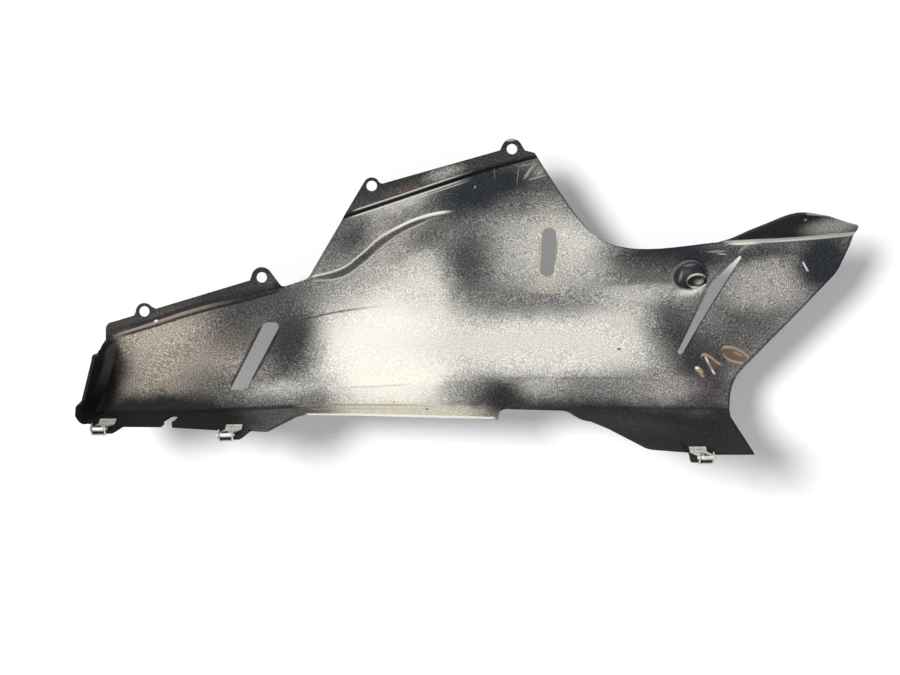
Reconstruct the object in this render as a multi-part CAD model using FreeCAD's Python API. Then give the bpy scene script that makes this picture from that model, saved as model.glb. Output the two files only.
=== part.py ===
import FreeCAD, Part
import math
import os

# Lower fairing panel of a motorcycle: one moulded, thin-walled shell with spring clips on its belly edge.
# Millimetres. +X is forward, +Y is outward (the painted side), +Z is up; the inner face looks along -Y.
# The origin is midway between the two screw holes of the upper flange, in the middle of the wall.

# Wall and steps of the moulding
WALL = 3.0
JOGGLE_DEPTH = 4.0
JOGGLE_RUN = 4.0
RIDGE_DEPTH = 4.0
BEND = 1.2
BEND_SHARE = 0.4
PROBE = 2.0

# Crown of the side face: it flares outward going down, bulges in the middle and curls in at both ends
FLARE = 0.06
CROWN = 3.0
CROWN_HEIGHT = 210.0
REAR_CURL = 3.0
REAR_CURL_START = -100.0
REAR_CURL_RUN = 240.0
FRONT_CURL = 10.0
FRONT_CURL_START = 100.0
FRONT_CURL_RUN = 315.0

# Turned-in walls, as slopes of depth to width in the side view
UPPER_BELLY_SLOPE = 0.6
BELLY_SLOPE = 1.8
REAR_WALL_SLOPE = 4.0
REAR_WALL_STATION = -333.5
REAR_WALL_LEAN = 0.29
REAR_WALL_LEAN_LEVEL = -192.0
REAR_WALL_LEAN_FADE = 100.0
LEAN_ROUNDS = 8
REAR_WALL_HEAD = 16.0
REAR_WALL_END = -339.0
NOSE_FLANGE_SLOPE = 1.7

# Flanges that carry the screws: middle of the wall, outward from the origin
UPPER_FLANGE_Y = 0.0
REAR_FLANGE_Y = 10.0
FLANGE_HEIGHT = 50.0

# Screw tabs: hole centre along X and Z, and radius of the ear
SCREW_HOLE_R = 5.3
UPPER_HOLE_X = 70.1
UPPER_HOLE_Z = 18.4
REAR_TAB_1 = (-299.3, -143.7)
REAR_TAB_2 = (-181.2, -109.5)
SMALL_EAR_RIM = 3.1
LARGE_EAR_RIM = 5.0

# Feature lines of the moulding in the side view, (X, Z), from rear to front
JOGGLE_LINE = [
    (-400, -189), (-332, -169.5), (-243, -142.5), (-193, -129.3), (-163, -121.7), (-153, -113), (-143, -109),
    (-134, -103), (-123, -84), (-113, -66), (-103, -50), (-98, -49.3), (-42, -30.7), (38, -4.2), (93, 10.9),
    (110, 0), (125, -22), (145, -48), (165, -64), (190, -72), (215, -74), (282, -74.8), (351, -71.2),
    (450, -63),
]
RIDGE_TOP_LINE = [
    (-400, -199), (-332, -180), (-163, -128), (-153, -118), (-141, -112), (-131, -109.2), (-102, -101.2),
    (-92, -95.1), (-82, -87.1), (-62, -69.5), (-42, -58), (-22, -49.4), (8, -43.4), (60, -34), (97, -34),
    (125, -54), (145, -70), (165, -82), (190, -88), (450, -80),
]
RIDGE_FOOT_LINE = [
    (-400, -208), (-332, -189), (-163, -135), (-153, -123), (-141, -116), (-132, -113.2), (-112, -112.2),
    (-102, -109.7), (-92, -105.2), (-82, -98.1), (-62, -80.6), (-42, -65.5), (-22, -55.9), (8, -48),
    (60, -41), (97, -41), (125, -61), (145, -77), (165, -89), (190, -95), (450, -87),
]
BELLY_TOP_LINE = [(-400, -231), (-346, -229), (-113, -221), (-26, -217), (25, -212), (450, -212)]
BELLY_FOLD_LINE = [
    (-400, -248), (-170, -243.2), (-133, -239.5), (38, -237.5), (113, -240.5), (286, -243.5), (450, -246),
]
BELLY_REACH = 70.0

# Stretches along X where the ridge rises and runs out, the flanges change over, and the nose flange folds
RIDGE_RISE = (-141.0, -131.0)
RIDGE_RUN_OUT = (-62.0, 8.0)
FLANGE_CHANGE = (-160.0, -98.0)
NOSE_CHANGE = (120.0, 265.0)

# Stations of the moulding along X, as runs of (start, end, spacing), closer where the lines turn sharply
STATION_RUNS = [
    (-366, -350, 16), (-344, -320, 6), (-295, -185, 55), (-168, -98, 10), (-84, 84, 21), (97, 193, 16),
    (215, 290, 25), (330, 440, 55),
]

# Rows that round the side between belly and ridge: their place in a section, and their heights as shares
SIDE_ROWS = (3, 4)
SIDE_SHARES = (0.33, 0.67)

# Slots through the side face
STADIUM_SLOT_X = 107.1
STADIUM_SLOT_Z = -84.2
STADIUM_SLOT_LENGTH = 49.4
STADIUM_SLOT_WIDTH = 14.6
STADIUM_SLOT_TILT = 3.0

# Locating socket on the inner face: a dome cut off at a slant, with a round dish in the cut
SOCKET_X = 249.6
SOCKET_Z = -106.1
SOCKET_R = 16.0
SOCKET_CUT = 12.0
SOCKET_DISH_R = 8.5
SOCKET_DISH_DEPTH = 4.5
SOCKET_TILT = 49.5
SOCKET_TURN = 17.0

# Clips of folded spring steel over a tab of the belly edge, and the bar between each clip's ears
CLIP_SHEET = 1.0
CLIP_GAP = 0.2
CLIP_WIDTH = 16.0
CLIP_LENGTH = 21.5
CLIP_HEAD = 9.0
CLIP_LOWER_LEG = 15.0
CLIP_ARM_SHIFT = 6.0
CLIP_ARM_SPAN = 15.0
CLIP_RAIL = 1.8
CLIP_EAR_LENGTH = 10.0
CLIP_EAR_HEIGHT = 5.6
CLIP_HOLE_R = 1.1
CLIP_TONGUE_RISE = 1.3
BAR_R = 2.1
BAR_PIN_R = 1.3
BAR_PIN_CLEARANCE = 0.1
BAR_SIDE_GAP = 0.3
BAR_END = 1.4
BAR_UP = 0.0

# Tabs under the clips: X of the clip's head, belly edge behind the tab down the slope, and side of the arms
TAB_DROP = 17.2
TAB_MARGIN = 1.0
TAB_CORNER = 2.0
REAR_CLIP = {"x": REAR_WALL_STATION + 2.5, "edge": 136.0, "side": 1}
MIDDLE_CLIP = {"x": -204.3, "edge": 149.2, "side": 1}
FRONT_CLIP = {"x": 245.0, "edge": 197.1, "side": -1}

# Room that cutting tools have past the part
FAR_REAR = -440.0
FAR_FRONT = 470.0
FAR_IN = -180.0
FAR_OUT = 80.0
FAR_BELOW = -350.0
FAR_ABOVE = 110.0

BAR_LEVEL = BAR_R + 2 * CLIP_GAP
BELLY_ANGLE = math.atan(BELLY_SLOPE)
NOSE_ANGLE = math.atan(NOSE_FLANGE_SLOPE)
DOWN_BELLY = FreeCAD.Vector(0, -math.sin(BELLY_ANGLE), -math.cos(BELLY_ANGLE))
OFF_BELLY = FreeCAD.Vector(0, -math.cos(BELLY_ANGLE), math.sin(BELLY_ANGLE))
UP_NOSE = FreeCAD.Vector(0, -math.sin(NOSE_ANGLE), math.cos(NOSE_ANGLE))
OFF_NOSE = FreeCAD.Vector(0, -math.cos(NOSE_ANGLE), -math.sin(NOSE_ANGLE))
INWARD = FreeCAD.Vector(0, -1, 0)
UPWARD = FreeCAD.Vector(0, 0, 1)
FORWARD = FreeCAD.Vector(1, 0, 0)


def ease(value, start, end):
    """Rises smoothly from 0 at start to 1 at end."""
    share = min(1.0, max(0.0, (value - start) / (end - start)))
    return share * share * (3 - 2 * share)


def along(line, station):
    """Height of a feature line at a station."""
    for (x0, z0), (x1, z1) in zip(line, line[1:]):
        if station <= x1:
            return z0 + (z1 - z0) * (station - x0) / (x1 - x0)
    return line[-1][1]


def lean(station):
    """Share by which a station leans along X as it rises, so that it follows the rear wall."""
    fade = ease(station, REAR_WALL_STATION, REAR_WALL_STATION + REAR_WALL_LEAN_FADE)
    return REAR_WALL_LEAN * (1 - fade)


def side_face(station, z):
    """Outer face of the crowned side, outward from the origin."""
    half = CROWN_HEIGHT / 2
    level = max(z, along(BELLY_TOP_LINE, station))
    y = UPPER_FLANGE_Y + WALL / 2 + JOGGLE_DEPTH - FLARE * level
    y += CROWN * (1 - ((level + half) / half) ** 2)
    y -= REAR_CURL * (max(0.0, REAR_CURL_START - station) / REAR_CURL_RUN) ** 3
    y -= FRONT_CURL * (max(0.0, station - FRONT_CURL_START) / FRONT_CURL_RUN) ** 2
    return y


def turned_in(station, z):
    """Depth by which the belly and the rear wall turn inward, with a rounded corner where they meet."""
    belly = UPPER_BELLY_SLOPE * max(0.0, along(BELLY_TOP_LINE, station) - z)
    belly += (BELLY_SLOPE - UPPER_BELLY_SLOPE) * max(0.0, along(BELLY_FOLD_LINE, station) - z)
    head = ease(along(JOGGLE_LINE, station) - z, 0, REAR_WALL_HEAD)
    rear = REAR_WALL_SLOPE * max(0.0, REAR_WALL_STATION - station) * head
    return math.hypot(belly, rear)


def skin(station, z):
    """Outer face below the joggle, without the ridge."""
    return side_face(station, z) - turned_in(station, z)


def ridge_step(station):
    """Inward step above the S-shaped ridge, which runs out to nothing towards the front."""
    return RIDGE_DEPTH * ease(station, *RIDGE_RISE) * (1 - ease(station, *RIDGE_RUN_OUT))


def flange(station, z):
    """Outer face above the joggle: flat at the two screw flanges, folded inward at the nose."""
    root = along(JOGGLE_LINE, station)
    flat = REAR_FLANGE_Y + (UPPER_FLANGE_Y - REAR_FLANGE_Y) * ease(station, *FLANGE_CHANGE) + WALL / 2
    folded = skin(station, root) - NOSE_FLANGE_SLOPE * (z - root)
    return flat + (folded - flat) * ease(station, *NOSE_CHANGE)


def wall_in_section(face, station, z, rise):
    """Thickness of the wall in the plane of a station, where the face also runs off along X."""
    run = (face(station + PROBE, z) - face(station - PROBE, z)) / (2 * PROBE)
    return WALL * math.sqrt(1 + run * run / (1 + rise * rise))


def section(station):
    """Outer face at one station, from belly to flange: Z and Y of each feature line, and its face."""
    belly_fold = along(BELLY_FOLD_LINE, station)
    belly_top = along(BELLY_TOP_LINE, station)
    foot = along(RIDGE_FOOT_LINE, station)
    ridge = along(RIDGE_TOP_LINE, station)
    joggle = along(JOGGLE_LINE, station)
    levels = [belly_fold - BELLY_REACH, belly_fold, belly_top]
    levels += [belly_top + share * (foot - belly_top) for share in SIDE_SHARES]
    levels.append(foot)
    rows = [(z, skin(station, z), skin) for z in levels]
    rows += [(z, skin(station, z) - ridge_step(station), skin) for z in (ridge, joggle)]
    rows += [(z, flange(station, z), flange) for z in (joggle + JOGGLE_RUN, joggle + FLANGE_HEIGHT)]
    return rows


def inner_section(station, rows):
    """A section moved inward by the wall, with a mitre at each feature line: (Z, Y) of each."""
    moved = []
    for i, (z, y, face) in enumerate(rows):
        normals = []
        for (z0, y0, _), (z1, y1, _) in zip(rows[max(0, i - 1):i + 1], rows[max(1, i):i + 2]):
            length = math.hypot(z1 - z0, y1 - y0)
            normals.append(((y1 - y0) / length, (z0 - z1) / length))
        (z0, y0), (z1, y1) = normals[0], normals[-1]
        rise = (z0 + z1) / (y0 + y1)
        share = wall_in_section(face, station, z, rise) / (1 + z0 * z1 + y0 * y1)
        moved.append((z + share * (z0 + z1), y + share * (y0 + y1)))
    return moved


def toward(point, other):
    """Where a bend round a feature line meets the straight stretch to the next line."""
    length = math.hypot(other[0] - point[0], other[1] - point[1])
    share = min(BEND / length, BEND_SHARE)
    return tuple(a + share * (b - a) for a, b in zip(point, other))


def strips(points):
    """Splits a section into strips: a bend round each feature line, and what lies between the bends."""
    found = [[points[0]]]
    for i in range(1, len(points) - 1):
        if i in SIDE_ROWS:
            found[-1].append(points[i])
            continue
        start = toward(points[i], points[i - 1])
        end = toward(points[i], points[i + 1])
        found[-1].append(start)
        found += [[start, points[i], end], [end]]
    found[-1].append(points[-1])
    return found


def stations():
    """X of every station."""
    found = []
    for start, end, spacing in STATION_RUNS:
        count = round((end - start) / spacing)
        found += [start + (end - start) * i / count for i in range(count + 1)]
    return found


def strip_surface(net):
    """Surface that is cubic along X and one simple curve across, drawn by a net of control points."""
    counts = (len(net), len(net[0]))
    degrees = (3, counts[1] - 1)
    knots = [list(range(count - degree + 1)) for count, degree in zip(counts, degrees)]
    repeats = []
    for count, degree in zip(counts, degrees):
        repeats.append([degree + 1] + [1] * (count - degree - 1) + [degree + 1])
    surface = Part.BSplineSurface()
    surface.buildFromPolesMultsKnots(net, *repeats, *knots, False, False, *degrees)
    return surface


def leaning(station, points):
    """Points of a section in space, on a station that leans with the rear wall."""
    slope = lean(station)
    return [FreeCAD.Vector(station + slope * (z - REAR_WALL_LEAN_LEVEL), y, z) for z, y in points]


def moulded_slab():
    """The moulding before it is trimmed: outer and inner strips joined by a band round the edge."""
    sides = ([], [])
    for station in stations():
        rows = section(station)
        outer = [(z, y) for z, y, _ in rows]
        for side, points in zip(sides, (outer, inner_section(station, rows))):
            side.append([leaning(station, strip) for strip in strips(points)])
    pairs = []
    for i in range(len(sides[0][0])):
        pairs.append([strip_surface([strip_row[i] for strip_row in side]) for side in sides])
    faces = [surface.toShape() for pair in pairs for surface in pair]
    rims = []
    for outer, inner in pairs:
        first, last, _, _ = outer.bounds()
        rims += [(outer.uIso(u), inner.uIso(u)) for u in (first, last)]
    rims.append([surface.vIso(surface.bounds()[2]) for surface in pairs[0]])
    rims.append([surface.vIso(surface.bounds()[3]) for surface in pairs[-1]])
    for outer_rim, inner_rim in rims:
        faces.append(Part.makeRuledSurface(outer_rim.toShape(), inner_rim.toShape()))
    shell = Part.makeShell(faces)
    shell.sewShape()
    slab = Part.makeSolid(shell)
    if slab.Volume < 0:
        slab.reverse()
    return slab


def outline(start, steps, across, up):
    """Closed face in a given plane, from lines (one point), arcs (middle, end) and curves (point list)."""
    def place(pair):
        return across * pair[0] + up * pair[1]

    edges = []
    here = place(start)
    for step in steps:
        if isinstance(step, list):
            points = [here] + [place(pair) for pair in step]
            curve = Part.BSplineCurve()
            curve.interpolate(points)
            edges.append(curve.toShape())
            here = points[-1]
        elif isinstance(step[0], tuple):
            middle, end = place(step[0]), place(step[1])
            edges.append(Part.Arc(here, middle, end).toShape())
            here = end
        else:
            end = place(step)
            edges.append(Part.makeLine(here, end))
            here = end
    if here.distanceToPoint(place(start)) > WALL / 100:
        edges.append(Part.makeLine(here, place(start)))
    return Part.Face(Part.Wire(edges))


def ear(centre, rim, first, last):
    """Line to an ear round a screw hole, and the arc over it, between two directions in degrees."""
    radius = SCREW_HOLE_R + rim
    points = []
    for angle in (first, (first + last) / 2, last):
        turn = math.radians(angle)
        points.append((centre[0] + radius * math.cos(turn), centre[1] + radius * math.sin(turn)))
    return [points[0], (points[1], points[2])]


def side_outline():
    """Outline in the side view: both flanges, cut-out, nose and wheel arch; open past the belly."""
    upper_rear = (-UPPER_HOLE_X, -UPPER_HOLE_Z)
    upper_front = (UPPER_HOLE_X, UPPER_HOLE_Z)
    steps = [(FAR_REAR, -194), (-346, -187), ((-341, -185.5), (-338, -181)), (-338, -163)]
    steps += [((-336.3, -157), (-331, -154.3)), (-309.5, -147.8)]
    steps += ear(REAR_TAB_1, SMALL_EAR_RIM, 182, 35)
    steps += [(-287.4, -141), (-193, -112.5)]
    steps += ear(REAR_TAB_2, LARGE_EAR_RIM, 168, 38)
    steps += [(-164, -115.2), ((-161.7, -117.7), (-158, -118.2)), (-138, -111.8)]
    steps += [((-134.3, -109.3), (-131.5, -105))]
    steps += ear(upper_rear, SMALL_EAR_RIM, 150, 42)
    steps += [((-60.5, -15.9), (-57, -15.5)), (58, 17)]
    steps += ear(upper_front, LARGE_EAR_RIM, 152, 36)
    steps += [(83, 17), (92.7, 14.5)]
    cut_out = [(105, -4), (118.5, -24), (138.8, -51.4), (159, -70.7), (179, -78.5), (204.3, -81)]
    steps += [cut_out + [(239.3, -78.7), (279, -74.3)]]
    steps += [(279, FAR_ABOVE), (FAR_FRONT, FAR_ABOVE), (FAR_FRONT, -35), (418, -50), (414, -60), (408, -78)]
    steps += [(398, -99.5), ((395, -104.5), (391, -109.4)), (359.7, -142.9), (309, -195.3)]
    steps += [[(297, -209.3), (290.7, -220.7), (287.2, -236), (285.4, -248)]]
    steps += [(299, -283), (312, FAR_BELOW), (FAR_REAR, FAR_BELOW)]
    return outline((FAR_REAR, FAR_BELOW), steps, FORWARD, UPWARD)


def tab_sides(clip):
    """X of the rear and front side of the tab under a clip, just past its arms and its head."""
    arms = -clip["side"] * (CLIP_ARM_SHIFT + CLIP_ARM_SPAN / 2)
    head = clip["side"] * CLIP_WIDTH / 2
    return clip["x"] + min(arms, head) - TAB_MARGIN, clip["x"] + max(arms, head) + TAB_MARGIN


def tab_end(clip):
    """Reach of a tab down the belly's slope."""
    return clip["edge"] + TAB_DROP


def clip_tab(clip):
    """Belly edge up to a tab and round it, from its rear side to its front side."""
    rear, front = tab_sides(clip)
    end = tab_end(clip)
    side = end - TAB_CORNER
    tab = [(rear, side), (rear + TAB_CORNER, end), (front - TAB_CORNER, end), (front, side)]
    return [(rear, clip["edge"])] + tab


def belly_outline():
    """Outline of the belly edge, along X and down the belly's slope, with the clip tabs and a torn notch."""
    steps = [(-362, 147), ((-356, 142), (-351, 136))]
    steps += clip_tab(REAR_CLIP)
    steps += [(-315, REAR_CLIP["edge"] + 5), (-277.4, 142), (-274.8, 136.5), (-276, 131.8), (-271, 125.3)]
    steps += [((-266, 122.6), (-262.4, 127.3)), (-264.9, 133.8), (-267.4, 136.5), (-266.4, 143)]
    steps += clip_tab(MIDDLE_CLIP)
    steps += [(-187.5, MIDDLE_CLIP["edge"] + 2.1), (-173.7, 153.4), ((-170.5, 152.8), (-167.5, 149.8))]
    steps += [(-149, 132.8), ((-143, 127.8), (-136, 125.5)), (-81, 128.3), (8, 137), (55.4, 140), (57, 128)]
    steps += [((59.5, 122.5), (67.8, 120.1)), (117.5, 121), ((124, 122.6), (129, 127.5)), (135.5, 135.5)]
    steps += [((140, 138.8), (147, 141.4)), (163, 154.5), (193, 186), ((197.5, 190), (206, 192.6))]
    steps += clip_tab(FRONT_CLIP)
    steps += [(258, FRONT_CLIP["edge"] + 3.9), (FAR_FRONT, 202.5), (FAR_FRONT, FAR_IN), (FAR_REAR, FAR_IN)]
    return outline((FAR_REAR, 147), steps, FORWARD, DOWN_BELLY)


def nose_outline():
    """Outline of the flange along the top of the nose, along X and up the flange's slope."""
    steps = [(FAR_REAR, FAR_ABOVE), (279, FAR_ABOVE), (279, -44)]
    crest = [(291.4, -36.8), (305.4, -24.5), (322.9, -11.2), (340.3, 1.6), (351, 4.8), (365, 2.6)]
    steps += [crest + [(380.4, -2.5)], (403, -15.2), (411, -19), ((413.5, -20.8), (414, -24))]
    steps += [(FAR_FRONT, -60), (FAR_FRONT, -FAR_ABOVE + FAR_IN)]
    return outline((FAR_REAR, -FAR_ABOVE + FAR_IN), steps, FORWARD, UP_NOSE)


def rear_wall_trim():
    """What is cut away past the edge of the rear wall, which steps deeper towards the belly."""
    steps = [(-7, -160), (-7, -181), (-23, -187), ((-26.5, -189.5), (-27.5, -195)), (-24, -232)]
    steps += [(-34, -238.5), ((-40, -241), (-42, -246)), (-42, FAR_BELOW), (FAR_IN, FAR_BELOW)]
    face = outline((FAR_IN, -160), steps, -INWARD, UPWARD)
    face.translate(FORWARD * FAR_REAR)
    return face.extrude(FORWARD * (REAR_WALL_END - FAR_REAR))


def through_side(face):
    """Extrudes a side-view face through the whole depth of the part."""
    tool = face.copy()
    tool.translate(INWARD * -FAR_OUT)
    return tool.extrude(INWARD * (FAR_OUT - FAR_IN))


def through_slope(face, off):
    """Extrudes a face both ways along the direction off it."""
    reach = FAR_FRONT - FAR_REAR
    tool = face.copy()
    tool.translate(off * -reach)
    return tool.extrude(off * (2 * reach))


def slanted_slot():
    """Parallelogram slot with one sharp lower corner."""
    steps = [(-182, -160), ((-179.4, -156.2), (-175, -154.7)), (-169.5, -154.7)]
    steps += [((-165.4, -156.8), (-165.4, -161.4)), (-191.7, -210.9), ((-195.6, -218), (-202, -222.4))]
    return outline((-214, -223), steps, FORWARD, UPWARD)


def stadium_slot():
    """Upright slot with round ends."""
    radius = STADIUM_SLOT_WIDTH / 2
    half = STADIUM_SLOT_LENGTH / 2 - radius
    steps = [((0, half + radius), (radius, half)), (radius, -half), ((0, -half - radius), (-radius, -half))]
    face = outline((-radius, half), steps, FORWARD, UPWARD)
    face.rotate(FreeCAD.Vector(), -INWARD, STADIUM_SLOT_TILT)
    face.translate(FORWARD * STADIUM_SLOT_X + UPWARD * STADIUM_SLOT_Z)
    return face


def blade_slot():
    """Long vent that narrows from its foot to a point at the top."""
    steps = [(273.5, -113), ((269.5, -118.4), (266.4, -125.2)), (238.7, -182)]
    steps += [((239.2, -186.8), (242.8, -185.6)), ((273.9, -132.2), (300.6, -90.5))]
    steps += [((300.4, -88.4), (298.4, -88.4))]
    return outline((298.4, -88.4), steps, FORWARD, UPWARD)


def inner_point(x, z):
    """Point on the inner face below the joggle, on the station that leans through it."""
    station = x
    for _ in range(LEAN_ROUNDS):
        station = x - lean(station) * (z - REAR_WALL_LEAN_LEVEL)
    rise = (skin(station, z + PROBE) - skin(station, z - PROBE)) / (2 * PROBE)
    depth = wall_in_section(skin, station, z, rise) * math.hypot(1, rise)
    return FreeCAD.Vector(x, skin(station, z) - depth, z)


def socket():
    """Domed socket on the inner face, cut off at a slant, with a round dish."""
    centre = inner_point(SOCKET_X, SOCKET_Z)
    tilt = math.radians(SOCKET_TILT)
    turn = math.radians(SOCKET_TURN)
    aim = INWARD * math.cos(tilt) + (FORWARD * math.sin(turn) - UPWARD * math.cos(turn)) * math.sin(tilt)
    dome = Part.makeSphere(SOCKET_R, centre)
    backing = Part.makeBox(4 * SOCKET_R, 2 * SOCKET_R, 4 * SOCKET_R)
    backing.translate(centre + FreeCAD.Vector(-2 * SOCKET_R, WALL / 2, -2 * SOCKET_R))
    slice_off = Part.makeCylinder(2 * SOCKET_R, SOCKET_R, centre + aim * SOCKET_CUT, aim)
    dish = Part.makeCylinder(SOCKET_DISH_R, SOCKET_R, centre + aim * (SOCKET_CUT - SOCKET_DISH_DEPTH), aim)
    return dome.cut(backing).cut(slice_off), dish


def belly_frame(clip):
    """Placement on the inner face at a tab's edge: X across the tab, Y up the belly, Z off the face."""
    half = CLIP_WIDTH / 2
    ends = []
    for x in (clip["x"] - half, clip["x"] + half):
        z = along(BELLY_FOLD_LINE, x) - 2 * PROBE
        root = inner_point(x, z)
        ends.append(root + DOWN_BELLY * (tab_end(clip) - root.dot(DOWN_BELLY)))
    across = (ends[1] - ends[0]).normalize()
    off = across.cross(-DOWN_BELLY).normalize()
    up = off.cross(across)
    middle = (ends[0] + ends[1]) * 0.5
    return FreeCAD.Placement(middle, FreeCAD.Rotation(across, up, off, "XYZ"))


def plate(points, low, high):
    """Flat plate between two levels off the face."""
    corners = [FreeCAD.Vector(x, y, low) for x, y in points]
    return Part.Face(Part.makePolygon(corners + corners[:1])).extrude(UPWARD * (high - low))


def block(x0, x1, y0, y1, z0, z1):
    """Rectangular block between two corners."""
    return Part.makeBox(x1 - x0, y1 - y0, z1 - z0, FreeCAD.Vector(x0, y0, z0))


def arm_sides():
    """Outer sides of a clip's two arms, across the tab."""
    return -CLIP_ARM_SHIFT - CLIP_ARM_SPAN / 2, -CLIP_ARM_SHIFT + CLIP_ARM_SPAN / 2


def clip_body():
    """Clip with its arms to the left: a head with a tongue, and two eared arms folded round the edge."""
    half = CLIP_WIDTH / 2
    left, right = arm_sides()
    low = CLIP_GAP
    high = CLIP_GAP + CLIP_SHEET
    edge = -CLIP_GAP - CLIP_SHEET
    neck = CLIP_LENGTH - CLIP_HEAD
    ear_foot = BAR_UP - BAR_PIN_R - 2 * CLIP_SHEET
    shoulder = ear_foot + CLIP_EAR_LENGTH
    sheet = plate(
        [
            (-half, CLIP_LENGTH), (half, CLIP_LENGTH), (half, neck), (right, shoulder), (right, edge),
            (left, edge), (left, shoulder), (-half, neck),
        ],
        low, high,
    )
    window = plate(
        [
            (-half + CLIP_RAIL, neck - CLIP_RAIL), (right - CLIP_RAIL, neck - CLIP_RAIL),
            (right - CLIP_RAIL, edge - CLIP_SHEET), (left + CLIP_RAIL, edge - CLIP_SHEET),
            (left + CLIP_RAIL, shoulder),
        ],
        low - CLIP_SHEET, high + CLIP_SHEET,
    )
    slot_left = -half + 2 * CLIP_RAIL
    slot_low = neck + CLIP_HEAD / 2 - CLIP_SHEET
    slot = block(slot_left, CLIP_RAIL, slot_low, slot_low + 2 * CLIP_SHEET, -CLIP_SHEET, high + CLIP_SHEET)
    hole_foot = FreeCAD.Vector(half - 2 * CLIP_RAIL, neck + CLIP_HEAD / 2, -CLIP_SHEET)
    corner_hole = Part.makeCylinder(CLIP_HOLE_R, 4 * CLIP_SHEET, hole_foot, UPWARD)
    body = sheet.cut(window).cut(slot).cut(corner_hole)
    foot = neck - CLIP_RAIL + CLIP_SHEET
    tip = BAR_UP + BAR_R + 2 * CLIP_SHEET
    profile = [(foot, low), (foot, high), (tip, high + CLIP_TONGUE_RISE), (tip, low + CLIP_TONGUE_RISE)]
    corners = [FreeCAD.Vector(slot_left, y, z) for y, z in profile]
    tongue = Part.Face(Part.makePolygon(corners + corners[:1])).extrude(FORWARD * (2 * CLIP_RAIL))
    under = -WALL - CLIP_GAP
    pieces = [tongue, block(left, right, edge, CLIP_LOWER_LEG, under - CLIP_SHEET, under)]
    for x in (left, right - CLIP_RAIL):
        pieces.append(block(x, x + CLIP_RAIL, edge, -CLIP_GAP, under - CLIP_SHEET, high))
    for x in (left, right - CLIP_SHEET):
        for cut in (0, CLIP_SHEET):
            top = CLIP_EAR_HEIGHT - CLIP_SHEET + cut
            pieces.append(block(x, x + CLIP_SHEET, ear_foot + cut, shoulder - cut, low, top))
    body = body.fuse(pieces)
    reach = right - left + 2 * CLIP_SHEET
    pin_holes = Part.makeCylinder(
        BAR_PIN_R + BAR_PIN_CLEARANCE, reach, FreeCAD.Vector(left - CLIP_SHEET, BAR_UP, BAR_LEVEL), FORWARD
    )
    return body.cut(pin_holes).removeSplitter()


def cross_bar():
    """Bar between a clip's ears: a thick middle, and thin ends that stand out past the ears."""
    left, right = arm_sides()
    inset = CLIP_RAIL + BAR_SIDE_GAP
    spans = [
        (left - BAR_END, left + inset, BAR_PIN_R),
        (left + inset, right - inset, BAR_R),
        (right - inset, right + BAR_END, BAR_PIN_R),
    ]
    pieces = [
        Part.makeCylinder(radius, end - start, FreeCAD.Vector(start, BAR_UP, BAR_LEVEL), FORWARD)
        for start, end, radius in spans
    ]
    return pieces[0].fuse(pieces[1:]).removeSplitter()


def fairing_shell():
    """The moulded shell, trimmed to its outlines, with its socket, slots and screw holes."""
    shell = moulded_slab()
    shell = shell.common(through_side(side_outline()))
    shell = shell.common(through_slope(belly_outline(), OFF_BELLY))
    shell = shell.common(through_slope(nose_outline(), OFF_NOSE))
    shell = shell.cut(rear_wall_trim())
    dome, dish = socket()
    shell = shell.fuse(dome).cut(dish)
    for face in (slanted_slot(), stadium_slot(), blade_slot()):
        shell = shell.cut(through_side(face))
    upper = [(-UPPER_HOLE_X, -UPPER_HOLE_Z), (UPPER_HOLE_X, UPPER_HOLE_Z)]
    for x, z in upper + [REAR_TAB_1, REAR_TAB_2]:
        start = FreeCAD.Vector(x, FAR_OUT, z)
        shell = shell.cut(Part.makeCylinder(SCREW_HOLE_R, FAR_OUT - FAR_IN, start, INWARD))
    return shell


def place_on_belly(shape, clip):
    """Moves a clip piece to its tab, mirrored where the arms point forward."""
    piece = shape if clip["side"] > 0 else shape.mirror(FreeCAD.Vector(), FORWARD)
    piece.Placement = belly_frame(clip).multiply(piece.Placement)
    return piece


os.makedirs("parts", exist_ok=True)
fairing_shell().exportStep("parts/fairing_shell.step")
for name, clip in (("rear", REAR_CLIP), ("middle", MIDDLE_CLIP), ("front", FRONT_CLIP)):
    place_on_belly(clip_body(), clip).exportStep(f"parts/{name}_clip.step")
    place_on_belly(cross_bar(), clip).exportStep(f"parts/{name}_clip_bar.step")
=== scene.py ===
import logging
import math
from dataclasses import dataclass
from enum import Enum
from typing import Sequence

import bpy
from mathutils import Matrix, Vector

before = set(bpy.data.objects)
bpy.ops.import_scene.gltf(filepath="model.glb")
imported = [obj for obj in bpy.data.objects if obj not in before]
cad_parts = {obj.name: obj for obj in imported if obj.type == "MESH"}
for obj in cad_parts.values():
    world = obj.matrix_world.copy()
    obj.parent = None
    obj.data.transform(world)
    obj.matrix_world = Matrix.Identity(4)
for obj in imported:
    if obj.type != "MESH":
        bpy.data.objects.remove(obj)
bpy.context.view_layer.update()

LOG = logging.getLogger("lower_fairing")
MM = 0.001
THROUGH = 1000.0
WHITE = (1.0, 1.0, 1.0, 1.0)
NO_LIGHT = (0.0, 0.0, 0.0, 1.0)

Socket = bpy.types.NodeSocket
Colour = tuple[float, float, float, float]


def paint(red: int, green: int, blue: int) -> Colour:
    """Turn a display colour into the linear colour that a shader takes.

    Args:
        red: Red from 0 to 255.
        green: Green from 0 to 255.
        blue: Blue from 0 to 255.

    Returns:
        The linear colour with full cover.
    """
    def straight(value: int) -> float:
        """Undo the display curve for one channel."""
        share = value / 255
        return share / 12.92 if share <= 0.04045 else ((share + 0.055) / 1.055) ** 2.4

    return straight(red), straight(green), straight(blue), 1.0


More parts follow.
